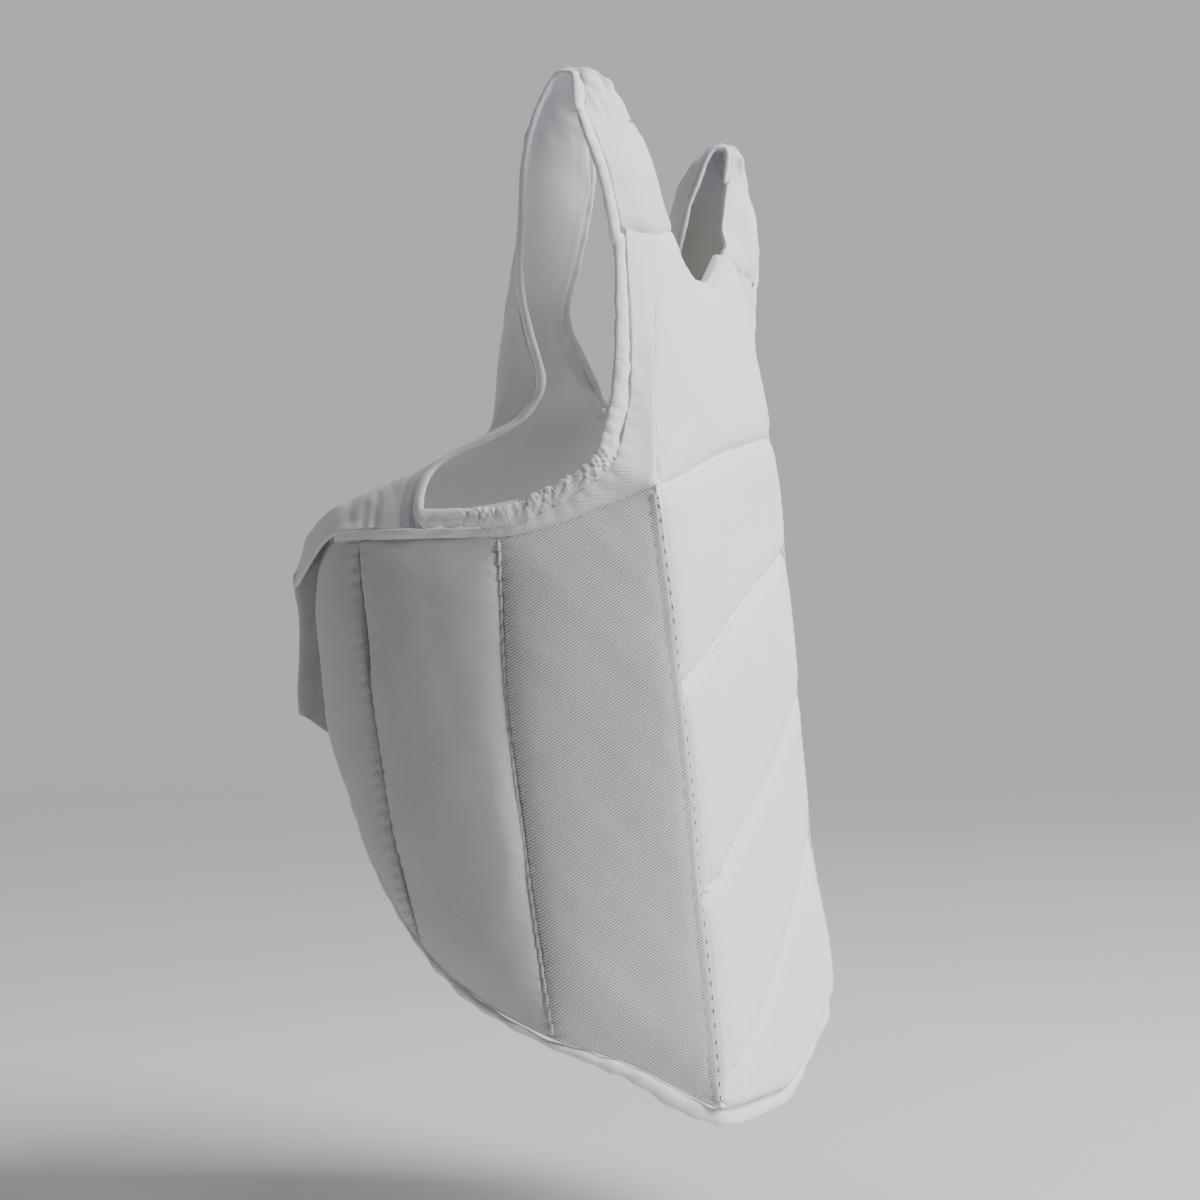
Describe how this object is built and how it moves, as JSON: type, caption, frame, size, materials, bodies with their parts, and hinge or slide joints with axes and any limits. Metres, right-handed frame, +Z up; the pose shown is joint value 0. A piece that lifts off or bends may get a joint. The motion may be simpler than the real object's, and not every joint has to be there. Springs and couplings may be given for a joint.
{
  "type": "chest protector",
  "caption": "Sleeveless padded chest guard: front pad with slanting grooves, foam side pads, mesh armholes with gathered binding, shoulder straps, cloth back yoke and a closing belt behind.",
  "frame": {"origin": "middle of the shoulder line, level with the tops of the two shoulder straps, where the guard hangs from the wearer's shoulders", "axes": "+Z up, +X to the wearer's left, -Y to the front of the guard"},
  "size_m": [0.3358, 0.2903, 0.6259],
  "materials": {
    "front_cover": "smooth coated cover, matte to satin, bright white",
    "side_cover": "white twill with fine slanting ribs, matte",
    "stretch_mesh": "white stretch knit with fine eyelets, matte",
    "binding": "smooth white edge binding, slight sheen",
    "yoke_cloth": "soft padded white cloth, matte",
    "belt_cloth": "white brushed loop cloth, matte"
  },
  "bodies": {
    "root": {"front_pad": "front_cover", "side_pad_front_right": "side_cover", "side_pad_front_left": "side_cover", "side_pad_middle_right": "side_cover", "side_pad_middle_left": "side_cover", "side_pad_rear_right": "side_cover", "side_pad_rear_left": "side_cover", "hem_binding": "binding", "armhole_mesh_right": "stretch_mesh", "armhole_mesh_left": "stretch_mesh", "armhole_binding_right": "binding", "armhole_binding_left": "binding", "shoulder_strap_right": "stretch_mesh", "shoulder_strap_left": "stretch_mesh", "strap_roll_right": "binding", "strap_roll_left": "binding", "back_yoke": "yoke_cloth", "armhole_piping_right": "binding", "armhole_piping_left": "binding", "neck_binding": "binding", "closure_belt": "belt_cloth"}
  },
  "joints": []
}
